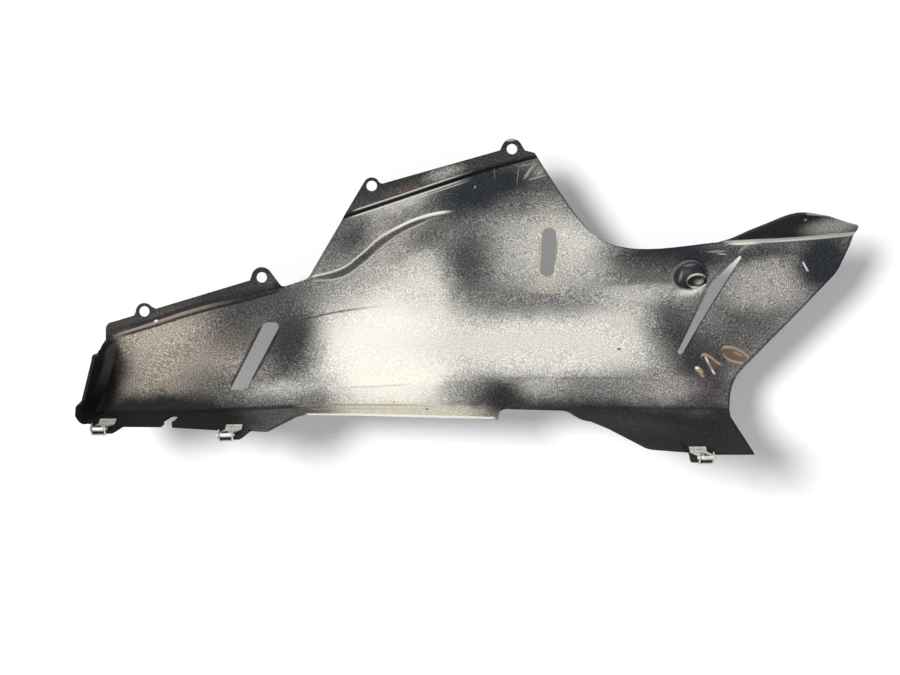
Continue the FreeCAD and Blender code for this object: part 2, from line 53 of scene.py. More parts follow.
class Shade(Enum):
    """The overspray's tones, from bare moulding to solid black; some of them also serve as painted
    highlights and painted shade.
    """

    CREAM = paint(246, 243, 232)
    IVORY = paint(226, 220, 200)
    BONE = paint(218, 216, 207)
    PALE = paint(188, 186, 179)
    FAWN = paint(204, 190, 174)
    SAND = paint(174, 166, 153)
    STONE = paint(156, 153, 148)
    TAUPE = paint(142, 133, 123)
    GREY = paint(118, 116, 114)
    OLIVE = paint(108, 110, 101)
    SMOKE = paint(84, 83, 81)
    SLATE = paint(60, 61, 61)
    DARK = paint(39, 41, 41)
    SOOT = paint(26, 27, 27)
    BLACK = paint(20, 20, 22)
    NIGHT = paint(32, 36, 41)
    PLUM = paint(62, 54, 60)
    UMBER = paint(84, 72, 68)
    BLUSH = paint(164, 146, 138)
    TAN = paint(170, 146, 120)
    RUST = paint(98, 80, 66)


@dataclass(frozen=True)
class Mark:
    """One soft patch of overspray, placed as it is seen from the eye; a few are painted highlight and
    painted shade.

    Attributes:
        x: Place across the view, in millimetres from its left edge.
        y: Place down the view, in millimetres from its top edge.
        half_length: Reach along the patch, in millimetres.
        half_width: Reach across the patch, in millimetres.
        turn: Anticlockwise turn of its length, in degrees.
        shade: The tone it brings.
        cover: How much of what lies under it is hidden.
        core: The share of its reach that is fully covered.
    """

    x: float
    y: float
    half_length: float
    half_width: float
    turn: float
    shade: Shade
    cover: float = 0.9
    core: float = 0.1


@dataclass(frozen=True)
class Stop:
    """One tone across a line.

    Attributes:
        drop: Distance below the line, or right of an upright one, in millimetres.
        shade: The tone there.
        cover: How much of what lies under it is hidden.
    """

    drop: float
    shade: Shade
    cover: float


def thread(shade: Shade, half_width: float, cover: float) -> tuple[Stop, ...]:
    """Give the tones across an even line of one shade.

    Args:
        shade: Its shade.
        half_width: Its reach to each side, in millimetres.
        cover: Its cover in the middle.

    Returns:
        Tones that fade to nothing at both sides.
    """
    middle = half_width / 2
    return (
        Stop(-half_width, shade, 0.0),
        Stop(-middle, shade, cover),
        Stop(middle, shade, cover),
        Stop(half_width, shade, 0.0),
    )


@dataclass(frozen=True)
class Line:
    """A line of tones along a smooth curve: painted highlight and painted shade along a bend or crease, the
    colour of a scratch or a bare edge, or a dark line along an edge.

    Attributes:
        points: Places in the view, in millimetres, from left to right, or from the top down.
        profile: The tones across it.
        fade: Lengths over which it comes and goes at its two ends, in millimetres.
        upright: Whether it runs down the view and not across it.
    """

    points: Sequence[tuple[float, float]]
    profile: Sequence[Stop]
    fade: tuple[float, float] = (6.0, 6.0)
    upright: bool = False


class Recipe:
    """Lays out the nodes of one material."""

    def __init__(self, name: str) -> None:
        """Start a material with its shader and its object coordinates."""
        self.material = bpy.data.materials.new(name)
        self.material.use_nodes = True
        self.tree = self.material.node_tree
        self.shader = self.tree.nodes["Principled BSDF"]
        self.place = self.node("ShaderNodeTexCoord")
        self.spot = self.place.outputs["Object"]

    def node(self, kind: str, **settings: object) -> bpy.types.Node:
        """Add a node and set its options.

        Args:
            kind: The node's type name.
            **settings: Attributes of the node.

        Returns:
            The new node.
        """
        made = self.tree.nodes.new(kind)
        for key, value in settings.items():
            setattr(made, key, value)
        return made

    def feed(self, socket: Socket, value: "Socket | float | Sequence[float]") -> None:
        """Link a socket to another, or set its own value.

        Args:
            socket: The socket that is fed.
            value: The socket it is linked to, or its own value.
        """
        if isinstance(value, bpy.types.NodeSocket):
            self.tree.links.new(value, socket)
        else:
            socket.default_value = value

    def sum(self, operation: str, first: "Socket | float", second: "Socket | float") -> Socket:
        """Work out one sum.

        Args:
            operation: The Math node's operation.
            first: Its first value.
            second: Its second value.

        Returns:
            The result.
        """
        made = self.node("ShaderNodeMath", operation=operation)
        self.feed(made.inputs[0], first)
        self.feed(made.inputs[1], second)
        return made.outputs[0]

    def ramp(
        self, value: Socket, low: float, high: float, to_low: float = 0.0, to_high: float = 1.0
    ) -> Socket:
        """Carry a value smoothly from one range to another.

        Args:
            value: What is carried.
            low: Where the ramp starts.
            high: Where the ramp ends.
            to_low: The result at its start.
            to_high: The result at its end.

        Returns:
            The result.
        """
        # A clamped range is worked out late, and enough of them make the shader too large to run.
        made = self.node("ShaderNodeMapRange", interpolation_type="SMOOTHSTEP", clamp=False)
        for index, number in enumerate((low, high, to_low, to_high), 1):
            made.inputs[index].default_value = number
        self.feed(made.inputs[0], value)
        return made.outputs[0]

    def blend(self, cover: "Socket | float", under: "Socket | Colour", over: "Socket | Colour") -> Socket:
        """Lay one colour over another.

        Args:
            cover: How much of the second shows.
            under: The first colour.
            over: The second colour.

        Returns:
            The blended colour.
        """
        made = self.node("ShaderNodeMix", data_type="RGBA")
        self.feed(made.inputs[0], cover)
        self.feed(made.inputs[6], under)
        self.feed(made.inputs[7], over)
        return made.outputs[2]

    def grain(self, per_metre: float, detail: float = 2.0, roughness: float = 0.6) -> Socket:
        """Give an even grain.

        Args:
            per_metre: Grains in a metre.
            detail: How many finer layers it has.
            roughness: How strong the finer layers are.

        Returns:
            The grain, about 0.5 on average.
        """
        made = self.node("ShaderNodeTexNoise")
        made.inputs["Scale"].default_value = per_metre
        made.inputs["Detail"].default_value = detail
        made.inputs["Roughness"].default_value = roughness
        self.feed(made.inputs["Vector"], self.spot)
        return made.outputs[0]

    def wander(self, per_metre: float, reach: float) -> tuple[Socket, Socket]:
        """Give the object coordinates, pushed about so that soft rims turn cloudy.

        The plain coordinates are taken back from the pushed ones. Patches and lines that share this
        start are worked out one after the other, which keeps the shader small enough to run.

        Args:
            per_metre: Clouds in a metre.
            reach: How far a point is pushed, in metres.

        Returns:
            The pushed coordinates and the plain ones.
        """
        aside = self.node("ShaderNodeMapping")
        aside.inputs["Location"].default_value = (3.0, 5.0, 7.0)
        self.feed(aside.inputs["Vector"], self.spot)
        shift = []
        for spot in (self.spot, aside.outputs[0]):
            cloud = self.node("ShaderNodeTexNoise")
            cloud.inputs["Scale"].default_value = per_metre
            cloud.inputs["Detail"].default_value = 3.0
            self.feed(cloud.inputs["Vector"], spot)
            shift.append(self.even(cloud.outputs[0], 0.0, 1.0, -reach, reach))
        push = self.node("ShaderNodeCombineXYZ")
        self.feed(push.inputs["X"], shift[0])
        self.feed(push.inputs["Z"], shift[1])
        moved = self.node("ShaderNodeVectorMath", operation="ADD")
        self.feed(moved.inputs[0], self.spot)
        self.feed(moved.inputs[1], push.outputs[0])
        plain = self.node("ShaderNodeVectorMath", operation="SUBTRACT")
        self.feed(plain.inputs[0], moved.outputs[0])
        self.feed(plain.inputs[1], push.outputs[0])
        return moved.outputs[0], plain.outputs[0]

    def sides(self, spot: Socket) -> tuple[Socket, Socket]:
        """Give the places across and down the view.

        Args:
            spot: The coordinates.

        Returns:
            The place across and the place down, in metres.
        """
        parts = self.node("ShaderNodeSeparateXYZ")
        self.feed(parts.inputs[0], spot)
        return parts.outputs["X"], self.sum("MULTIPLY", parts.outputs["Z"], -1.0)

    def patch(
        self, spot: Socket, centre: Vector, size: tuple[float, float], turn: float, core: float, cover: float
    ) -> Socket:
        """Give the cover of one soft oval patch, the same at every depth.

        Args:
            spot: The coordinates it is laid on.
            centre: Its middle, in metres.
            size: Its half length and half width, in metres.
            turn: Anticlockwise turn in radians, seen along +Y.
            core: The share of its reach that is fully covered.
            cover: The cover there.

        Returns:
            The cover, fading to nothing at the patch's rim.
        """
        made = self.node("ShaderNodeTexGradient", gradient_type="SPHERICAL")
        fit = made.texture_mapping
        fit.vector_type = "TEXTURE"
        fit.translation = centre
        fit.rotation = (0.0, -turn, 0.0)
        fit.scale = (size[0], THROUGH, size[1])
        self.feed(made.inputs[0], spot)
        return self.ramp(made.outputs["Fac"], 0.0, 1.0 - core, 0.0, cover)

    def even(self, value: Socket, low: float, high: float, to_low: float, to_high: float) -> Socket:
        """Carry a value in a straight line from one range to another.

        Args:
            value: What is carried.
            low: Where the range starts.
            high: Where the range ends.
            to_low: The result at its start.
            to_high: The result at its end.

        Returns:
            The result.
        """
        made = self.node("ShaderNodeMapRange", clamp=False)
        for index, number in enumerate((low, high, to_low, to_high), 1):
            made.inputs[index].default_value = number
        self.feed(made.inputs[0], value)
        return made.outputs[0]

    def course(self, along: Socket, points: Sequence[tuple[float, float]]) -> Socket:
        """Follow a smooth curve.

        Args:
            along: Where to read the curve.
            points: Places along it and its values there, in metres.

        Returns:
            The curve's value.
        """
        start, end = points[0][0], points[-1][0]
        low = min(value for _, value in points) - MM
        high = max(value for _, value in points) + MM
        share = self.even(along, start, end, 0.0, 1.0)
        made = self.node("ShaderNodeFloatCurve")
        made.mapping.extend = "HORIZONTAL"
        curve = made.mapping.curves[0]
        while len(curve.points) < len(points):
            curve.points.new(0.5, 0.5)
        for knot, (place, value) in zip(curve.points, points):
            knot.location = ((place - start) / (end - start), (value - low) / (high - low))
            knot.handle_type = "AUTO_CLAMPED"
        made.mapping.update()
        self.feed(made.inputs["Value"], share)
        return self.even(made.outputs[0], 0.0, 1.0, low, high)

    def across_line(self, drop: Socket, profile: Sequence[Stop]) -> bpy.types.Node:
        """Give the tones across a line.

        Args:
            drop: Distance from the line, in metres.
            profile: The tones.

        Returns:
            A node with their colour and cover.
        """
        first, last = profile[0].drop, profile[-1].drop
        share = self.even(drop, first * MM, last * MM, 0.0, 1.0)
        made = self.node("ShaderNodeValToRGB")
        tones = made.color_ramp.elements
        while len(tones) < len(profile):
            tones.new(0.5)
        for tone, stop in zip(tones, profile):
            tone.position = (stop.drop - first) / (last - first)
            tone.color = (*stop.shade.value[:3], stop.cover)
        self.feed(made.inputs[0], share)
        return made

    def relief(self, height: Socket, strength: float, depth: float) -> None:
        """Let a height stir the shader's normal.

        Args:
            height: The height.
            strength: How strongly it shows.
            depth: What a height of one stands for, in metres.
        """
        made = self.node("ShaderNodeBump")
        made.inputs["Strength"].default_value = strength
        made.inputs["Distance"].default_value = depth
        self.feed(made.inputs["Height"], height)
        self.feed(self.shader.inputs["Normal"], made.outputs[0])


@dataclass(frozen=True)
class Eye:
    """The point that the panel is looked at from.

    Attributes:
        across: Its place along X, in metres.
        back: Its distance from the panel along Y, in metres.
        height: Its place along Z, in metres.
        view_width: Width of the view at the panel, in millimetres.
        view_height: Height of the view at the panel, in millimetres.
        lens: Focal length of the camera, in millimetres.
        sensor: Width of the camera's sensor, in millimetres.
    """

    across: float = 0.00815
    back: float = 1.6
    height: float = -0.17
    view_width: float = 900.0
    view_height: float = 675.0
    lens: float = 64.0
    sensor: float = 36.0

    def place(self) -> Vector:
        """Give the point itself."""
        return Vector((self.across, -self.back, self.height))

    def touch(self, body: bpy.types.Object, x: float, y: float) -> Vector:
        """Find where a line of sight meets a body.

        Args:
            body: The body that is looked at.
            x: Place across the view, in millimetres.
            y: Place down the view, in millimetres.

        Returns:
            The point met, or the point at depth zero where nothing is met.
        """
        aim = Vector((
            self.across + (x - self.view_width / 2) * MM,
            0.0,
            self.height - (y - self.view_height / 2) * MM,
        ))
        start = self.place()
        met, point, _, _ = body.ray_cast(start, (aim - start).normalized())
        return point if met else aim


@dataclass(frozen=True)
class ZincFinish:
    """Bright zinc on spring steel.

    Attributes:
        bright: Colour of the clean plating.
        dull: Colour of the handled plating.
        roughness: Roughness of the clean plating.
        metal: Share of bare metal in its look; the rest is the plating's pale bloom.
    """

    bright: Colour = paint(240, 239, 234)
    dull: Colour = paint(206, 204, 198)
    roughness: float = 0.24
    metal: float = 0.4

    def material(self, name: str) -> bpy.types.Material:
        """Make the finish.

        Args:
            name: The material's name.

        Returns:
            The material.
        """
        recipe = Recipe(name)
        clouds = recipe.ramp(recipe.grain(240, 3), 0.35, 0.7)
        recipe.feed(recipe.shader.inputs["Base Color"], recipe.blend(clouds, self.bright, self.dull))
        recipe.shader.inputs["Metallic"].default_value = self.metal
        recipe.feed(
            recipe.shader.inputs["Roughness"],
            recipe.ramp(recipe.grain(900, 2), 0.2, 0.8, self.roughness, self.roughness + 0.2),
        )
        recipe.relief(recipe.grain(500, 1), 0.08, 0.0003)
        return recipe.material


@dataclass(frozen=True)
class Overspray:
    """Black overspray on the bare moulding.

    Attributes:
        speckle: Strength of its grain.
        evenness: What the grain's gain is scaled by to keep the tones.
        pale_share: Share of the grain's strength that is left on pale tones.
        pale_level: Brightness at which only that share is left.
        grains: Grains in a metre.
        clouds: Clouds in a metre along the rims of its patches.
        stray: How far those clouds push a rim, in metres.
        roughness: Least and greatest roughness.
    """

    speckle: float = 7.0
    evenness: float = 0.93
    pale_share: float = 0.08
    pale_level: float = 0.95
    grains: float = 850.0
    clouds: float = 55.0
    stray: float = 0.006
    roughness: tuple[float, float] = (0.42, 0.6)

    def speckled(self, recipe: Recipe, colour: Socket) -> Socket:
        """Break a colour up into the overspray's grain, which is strongest where the paint is thick.

        Args:
            recipe: The material being made.
            colour: The even colour.

        Returns:
            The colour with its grain.
        """
        tone = recipe.node("ShaderNodeRGBToBW")
        recipe.feed(tone.inputs[0], colour)
        least = self.pale_share * self.speckle
        strength = recipe.even(tone.outputs[0], 0.0, self.pale_level, self.speckle, least)
        fine = recipe.sum("SUBTRACT", recipe.grain(self.grains, 1, 0.5), 0.5)
        power = recipe.sum("MULTIPLY", fine, strength)
        gain = recipe.sum("MULTIPLY", recipe.sum("POWER", 2.0, power), self.evenness)
        grained = recipe.blend(gain, NO_LIGHT, colour)
        grained.node.clamp_factor = False
        return grained


@dataclass(frozen=True)
class GlossPaint:
    """Gloss black paint with a clear coat.

    Attributes:
        colour: Colour of the paint.
        rubbed: Colour of its few rubbed spots.
        roughness: Roughness of the paint.
        coat_roughness: Roughness of the clear coat.
        lean: Outward lean of a face at which the paint starts, and at which it is full.
    """

    colour: Colour = paint(14, 14, 15)
    rubbed: Colour = paint(40, 40, 42)
    roughness: float = 0.12
    coat_roughness: float = 0.06
    lean: tuple[float, float] = (0.02, 0.2)


@dataclass
class FairingShell:
    """The moulded panel with its oversprayed inside, painted highlights and painted shade along its bends
    and creases, and its painted outside.

    Attributes:
        node: Name of its solid.
        ground: The tone under every patch.
        clouds: Soft patches of overspray, from the lowest up.
        bands: Dark flanges over them, with painted shade on the rear joggle's ramp.
        touches: Soft patches on the flanges and the clip tabs, and a few elsewhere, one of them a painted
            highlight under the socket.
        lines: Painted highlights and painted shade along bends and creases, and scratches and bare edges,
            over the grain.
        spots: Small firm patches on top of all: chips and scrapes, painted highlights and painted shade on
            the socket, and a painted shadow beside a clip.
        inside: Finish of the inner face.
        outside: Finish of the outer face.
        gleam: Specular level of both faces.
    """

    node: str
    ground: Shade
    clouds: Sequence[Mark]
    bands: Sequence[Line]
    touches: Sequence[Mark]
    lines: Sequence[Line]
    spots: Sequence[Mark]
    inside: Overspray = Overspray()
    outside: GlossPaint = GlossPaint()
    gleam: float = 0.15

    def patched(
        self, recipe: Recipe, eye: Eye, under: "Socket | Colour", marks: Sequence[Mark], spot: Socket
    ) -> Socket:
        """Lay soft patches over a colour.

        Args:
            recipe: The material being made.
            eye: Where the patches are seen from.
            under: The colour under them.
            marks: The patches, from the lowest up.
            spot: The coordinates they are laid on.

        Returns:
            The colour with its patches.
        """
        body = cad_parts[self.node]
        colour = under
        for mark in marks:
            centre = eye.touch(body, mark.x, mark.y)
            scale = (eye.back + centre.y) / eye.back * MM
            size = (mark.half_length * scale, mark.half_width * scale)
            cover = recipe.patch(spot, centre, size, math.radians(mark.turn), mark.core, mark.cover)
            colour = recipe.blend(cover, colour, mark.shade.value)
        return colour

    def lined(
        self, recipe: Recipe, eye: Eye, under: Socket, lines: Sequence[Line], sides: tuple[Socket, Socket]
    ) -> Socket:
        """Draw lines over a colour.

        Args:
            recipe: The material being made.
            eye: Where the lines are seen from.
            under: The colour under them.
            lines: The lines, from the lowest up.
            sides: The places across and down the view.

        Returns:
            The colour with its lines.
        """
        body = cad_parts[self.node]
        colour = under
        for line in lines:
            met = [eye.touch(body, x, y) for x, y in line.points]
            course = [(-point.z, point.x) if line.upright else (point.x, -point.z) for point in met]
            beside, along = sides if line.upright else sides[::-1]
            drop = recipe.sum("SUBTRACT", beside, recipe.course(along, course))
            tones = recipe.across_line(drop, line.profile)
            start, end = course[0][0], course[-1][0]
            comes = recipe.ramp(along, start, start + line.fade[0] * MM)
            goes = recipe.ramp(along, end - line.fade[1] * MM, end, 1.0, 0.0)
            cover = recipe.sum("MULTIPLY", tones.outputs["Alpha"], recipe.sum("MULTIPLY", comes, goes))
            colour = recipe.blend(cover, colour, tones.outputs["Color"])
        return colour

    def dress(self, eye: Eye) -> None:
        """Give the solid its two-faced finish, with its painted highlights and painted shade.

        Args:
            eye: Where the patches are seen from.
        """
        recipe = Recipe("overspray_paint_and_painted_light")
        shader = recipe.shader.inputs
        split = recipe.node("ShaderNodeSeparateXYZ")
        recipe.feed(split.inputs[0], recipe.place.outputs["Normal"])
        painted = recipe.ramp(split.outputs["Y"], *self.outside.lean)
        moved, plain = recipe.wander(self.inside.clouds, self.inside.stray)
        sides = recipe.sides(plain)
        sprayed = self.patched(recipe, eye, self.ground.value, self.clouds, moved)
        banded = self.lined(recipe, eye, sprayed, self.bands, sides)
        touched = self.patched(recipe, eye, banded, self.touches, plain)
        grained = self.inside.speckled(recipe, touched)
        # Painted highlights and painted shade along bends and creases, with scratches and bare edges, go
        # over the grain.
        painted_light_and_scratches = self.lined(recipe, eye, grained, self.lines, sides)
        inner = self.patched(recipe, eye, painted_light_and_scratches, self.spots, plain)
        rubbed = recipe.ramp(recipe.grain(60, 4), 0.72, 0.76)
        outer = recipe.blend(rubbed, self.outside.colour, self.outside.rubbed)
        recipe.feed(shader["Base Color"], recipe.blend(painted, inner, outer))
        worn = recipe.ramp(recipe.grain(300, 3), 0.2, 0.8, *self.inside.roughness)
        mix = recipe.node("ShaderNodeMix", data_type="FLOAT")
        recipe.feed(mix.inputs[0], painted)
        recipe.feed(mix.inputs[2], worn)
        recipe.feed(mix.inputs[3], self.outside.roughness)
        recipe.feed(shader["Roughness"], mix.outputs[0])
        shader["Specular IOR Level"].default_value = self.gleam
        recipe.feed(shader["Coat Weight"], painted)
        shader["Coat Roughness"].default_value = self.outside.coat_roughness
        recipe.relief(recipe.grain(650, 2), 0.12, 0.0004)
        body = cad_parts[self.node]
        body.material_slots[0].material = recipe.material
        LOG.info("%s dressed with %d clouds and %d lines", self.node, len(self.clouds), len(self.lines))


class LampKind(Enum):
    """The kinds of lamp in the studio."""

    SUN = "SUN"
    AREA = "AREA"


@dataclass
class Studio:
    """White backdrop, pale floor, soft light and the camera.

    Attributes:
        eye: Where the camera stands.
        wall_depth: Distance of the backdrop behind the panel, in metres.
        floor_level: Height of the floor, in metres.
        sheet_size: Side of the backdrop and of the floor, in metres.
        light_path: The way the main light travels.
        light_strength: Strength of the main light.
        light_spread: Angle that the main light covers, in radians.
        rear_place: Where the lamp behind the panel hangs, in metres.
        rear_power: Its power, in watts.
        rear_size: Its side, in metres.
        sky: Strength of the light from all round.
        glow: The backdrop's own share of its white, which keeps shadows on it pale.
    """

    eye: Eye
    wall_depth: float = 0.08
    floor_level: float = -0.6
    sheet_size: float = 12.0
    light_path: tuple[float, float, float] = (32.0, 50.0, -11.0)
    light_strength: float = 3.15
    light_spread: float = 0.32
    rear_place: tuple[float, float, float] = (-0.7, 1.7, 0.7)
    rear_power: float = 14.0
    rear_size: float = 1.2
    sky: float = 0.17
    glow: float = 0.18

    def surface(self, name: str, seen_through: bool) -> bpy.types.Material:
        """Make a plain white surface.

        Args:
            name: The material's name.
            seen_through: Whether it shows only to the eye, and only from the front.

        Returns:
            The material.
        """
        recipe = Recipe(name)
        shader = recipe.shader.inputs
        shader["Base Color"].default_value = WHITE
        shader["Roughness"].default_value = 1.0
        shader["Specular IOR Level"].default_value = 0.0
        if seen_through:
            level = 1.0 - self.glow
            shader["Base Color"].default_value = (level, level, level, 1.0)
            shader["Emission Color"].default_value = WHITE
            shader["Emission Strength"].default_value = self.glow
            light = recipe.node("ShaderNodeLightPath")
            side = recipe.node("ShaderNodeNewGeometry")
            front = recipe.sum("SUBTRACT", light.outputs["Is Camera Ray"], side.outputs["Backfacing"])
            clear = recipe.node("ShaderNodeBsdfTransparent")
            mix = recipe.node("ShaderNodeMixShader")
            recipe.feed(mix.inputs[0], recipe.sum("MAXIMUM", front, 0.0))
            recipe.feed(mix.inputs[1], clear.outputs[0])
            recipe.feed(mix.inputs[2], recipe.shader.outputs[0])
            recipe.feed(recipe.tree.nodes["Material Output"].inputs["Surface"], mix.outputs[0])
        return recipe.material

    def plane(self, name: str, place: Vector, upright: bool) -> bpy.types.Object:
        """Add one large sheet of the studio.

        Args:
            name: The sheet's name.
            place: Its middle, in metres.
            upright: Whether it stands up and faces the camera.

        Returns:
            The sheet.
        """
        turn = (math.radians(90), 0.0, 0.0) if upright else (0.0, 0.0, 0.0)
        bpy.ops.object.select_all(action="DESELECT")
        bpy.ops.mesh.primitive_plane_add(size=self.sheet_size, location=place, rotation=turn)
        sheet = bpy.context.object
        sheet.name = name
        sheet.data.materials.append(self.surface(name, upright))
        return sheet

    def lamp(
        self, name: str, kind: LampKind, strength: float, place: Vector, travel: Vector
    ) -> bpy.types.Light:
        """Add a lamp.

        Args:
            name: The lamp's name.
            kind: Its kind.
            strength: Its strength.
            place: Where it hangs, in metres.
            travel: The way its light goes.

        Returns:
            The lamp's data.
        """
        data = bpy.data.lights.new(name, kind.value)
        data.energy = strength
        lamp = bpy.data.objects.new(name, data)
        lamp.location = place
        lamp.rotation_euler = travel.to_track_quat("-Z", "Y").to_euler()
        bpy.context.scene.collection.objects.link(lamp)
        return data

    def sky_light(self) -> None:
        """Light the scene evenly, and show white where nothing stands."""
        world = bpy.data.worlds.new("studio")
        world.use_nodes = True
        bpy.context.scene.world = world
        tree = world.node_tree
        back = tree.nodes["Background"]
        back.inputs["Color"].default_value = WHITE
        light = tree.nodes.new("ShaderNodeLightPath")
        seen: Socket = light.outputs["Is Camera Ray"]
        for way in ("Is Glossy Ray", "Is Transmission Ray"):
            most = tree.nodes.new("ShaderNodeMath")
            most.operation = "MAXIMUM"
            tree.links.new(seen, most.inputs[0])
            tree.links.new(light.outputs[way], most.inputs[1])
            seen = most.outputs[0]
        level = tree.nodes.new("ShaderNodeMapRange")
        level.inputs[3].default_value = self.sky
        level.inputs[4].default_value = 1.0
        tree.links.new(seen, level.inputs[0])
        tree.links.new(level.outputs[0], back.inputs["Strength"])

    def build(self) -> None:
        """Set the studio up round the panel."""
        self.plane("backdrop", Vector((0.0, self.wall_depth, 0.0)), True)
        self.plane("floor", Vector((0.0, 0.0, self.floor_level)), False)
        ahead = Vector((-1.0, -2.0, 1.5))
        sun = self.lamp("key", LampKind.SUN, self.light_strength, ahead, Vector(self.light_path))
        sun.angle = self.light_spread
        behind = Vector(self.rear_place)
        soft = self.lamp("rear_soft", LampKind.AREA, self.rear_power, behind, -behind)
        soft.size = self.rear_size
        self.sky_light()
        view = bpy.data.cameras.new("view")
        view.lens = self.eye.lens
        view.sensor_width = self.eye.sensor
        camera = bpy.data.objects.new("view", view)
        camera.location = self.eye.place()
        camera.rotation_euler = (math.radians(90), 0.0, 0.0)
        bpy.context.scene.collection.objects.link(camera)
        bpy.context.scene.camera = camera
        bpy.context.scene.view_settings.view_transform = "Standard"
        LOG.info("studio set up")


REAR_CLOUDS = (
    Mark(170, 355, 130, 78, 8, Shade.TAUPE, 1.0, 0.4),
    Mark(158, 336, 62, 28, 14, Shade.SAND, 0.9, 0.1),
    Mark(160, 362, 60, 26, 0, Shade.SAND, 0.4),
    Mark(236, 320, 50, 54, 30, Shade.SLATE, 0.85),
    Mark(262, 300, 64, 30, 12, Shade.SLATE, 0.85, 0.2),
    Mark(214, 388, 56, 30, 0, Shade.SMOKE, 0.8),
    Mark(124, 372, 18, 46, -8, Shade.UMBER, 0.4),
    Mark(87, 385, 30, 84, -10, Shade.BLACK, 1.0, 0.5),
    Mark(165, 420, 150, 36, -2, Shade.SOOT, 1.0, 0.45),
)
UPPER_CLOUDS = (
    Mark(385, 245, 100, 62, 25, Shade.STONE, 1.0, 0.3),
    Mark(412, 200, 50, 16, 18, Shade.PALE, 0.8),
    Mark(404, 218, 50, 14, 25, Shade.SMOKE, 0.5),
    Mark(352, 238, 30, 46, -25, Shade.SLATE, 0.9, 0.1),
    Mark(430, 234, 44, 26, 25, Shade.SMOKE, 0.85, 0.1),
    Mark(336, 262, 24, 16, 20, Shade.GREY, 0.6),
    Mark(338, 292, 60, 30, 10, Shade.SMOKE, 0.85),
    Mark(458, 206, 44, 34, 15, Shade.SMOKE, 0.9, 0.1),
    Mark(488, 188, 84, 36, 14, Shade.NIGHT, 1.0, 0.3),
    Mark(556, 198, 44, 30, 120, Shade.SLATE, 0.9, 0.1),
)
MIDDLE_CLOUDS = (
    Mark(392, 345, 118, 96, 0, Shade.BONE, 1.0, 0.35),
    Mark(392, 352, 92, 80, 0, Shade.CREAM, 1.0, 0.35),
    Mark(424, 286, 46, 46, 0, Shade.BONE, 0.9, 0.1),
    Mark(350, 290, 50, 30, 20, Shade.STONE, 0.5),
    Mark(330, 240, 24, 40, -25, Shade.SLATE, 0.5),
    Mark(545, 346, 180, 46, 0, Shade.BONE, 1.0, 0.35),
    Mark(612, 318, 60, 36, 0, Shade.BONE, 0.7, 0.1),
    Mark(560, 248, 95, 68, 0, Shade.PALE, 0.95, 0.2),
    Mark(578, 238, 36, 30, 0, Shade.BONE, 0.6),
    Mark(545, 302, 120, 20, 0, Shade.GREY, 0.5),
    Mark(510, 304, 40, 24, 0, Shade.OLIVE, 0.4),
    Mark(515, 206, 40, 20, 0, Shade.SMOKE, 0.6),
    Mark(590, 212, 40, 30, 120, Shade.SMOKE, 0.5),
    Mark(468, 262, 40, 60, 0, Shade.SLATE, 0.9, 0.05),
    Mark(290, 338, 46, 62, -10, Shade.SLATE, 1.0, 0.2),
    Mark(290, 342, 22, 44, -10, Shade.DARK, 0.7),
    Mark(286, 388, 56, 15, 8, Shade.PALE, 0.75, 0.1),
    Mark(316, 398, 24, 12, 0, Shade.SMOKE, 0.5),
    Mark(464, 388, 40, 20, 0, Shade.GREY, 0.6),
    Mark(503, 398, 52, 30, 0, Shade.DARK, 1.0, 0.1),
    Mark(545, 388, 40, 20, 0, Shade.PALE, 0.6),
    Mark(410, 413, 120, 13, -1, Shade.IVORY, 0.95, 0.4),
    Mark(296, 412, 60, 12, 0, Shade.SMOKE, 0.9, 0.2),
)
FRONT_CLOUDS = (
    Mark(672, 256, 96, 28, 0, Shade.NIGHT, 1.0, 0.3),
    Mark(652, 272, 60, 22, 0, Shade.SMOKE, 0.6),
    Mark(640, 296, 70, 18, 0, Shade.PALE, 0.8, 0.1),
    Mark(676, 332, 46, 52, 0, Shade.SLATE, 0.95, 0.1),
    Mark(704, 354, 50, 46, 0, Shade.DARK, 1.0, 0.2),
    Mark(704, 388, 44, 26, 0, Shade.PLUM, 0.9, 0.2),
    Mark(660, 388, 60, 22, 0, Shade.STONE, 0.8, 0.1),
    Mark(600, 392, 80, 26, 0, Shade.GREY, 0.8, 0.1),
    Mark(620, 432, 170, 40, -6, Shade.DARK, 1.0, 0.5),
    Mark(712, 440, 80, 50, 0, Shade.DARK, 1.0, 0.5),
    Mark(698, 412, 24, 10, 0, Shade.SMOKE, 0.6),
    Mark(740, 320, 70, 50, 30, Shade.SMOKE, 1.0, 0.2),
    Mark(708, 312, 30, 34, 30, Shade.GREY, 0.6),
    Mark(766, 286, 58, 34, 10, Shade.STONE, 1.0, 0.3),
    Mark(824, 262, 44, 44, 40, Shade.NIGHT, 1.0, 0.35),
    Mark(760, 252, 60, 12, 3, Shade.SLATE, 0.9, 0.2),
)
REAR_JOGGLE = ((104, 339.5), (112, 337), (150, 325), (200, 309.5), (250, 297), (286, 288))
UPPER_JOGGLE = ((338, 219), (344, 217), (400, 198.5), (440, 185), (480, 172), (535, 157), (545, 154.5))
HORN_FOLD = ((722, 243), (735, 242.5), (750, 241.5), (790, 239.5), (820, 237), (858, 233.5))
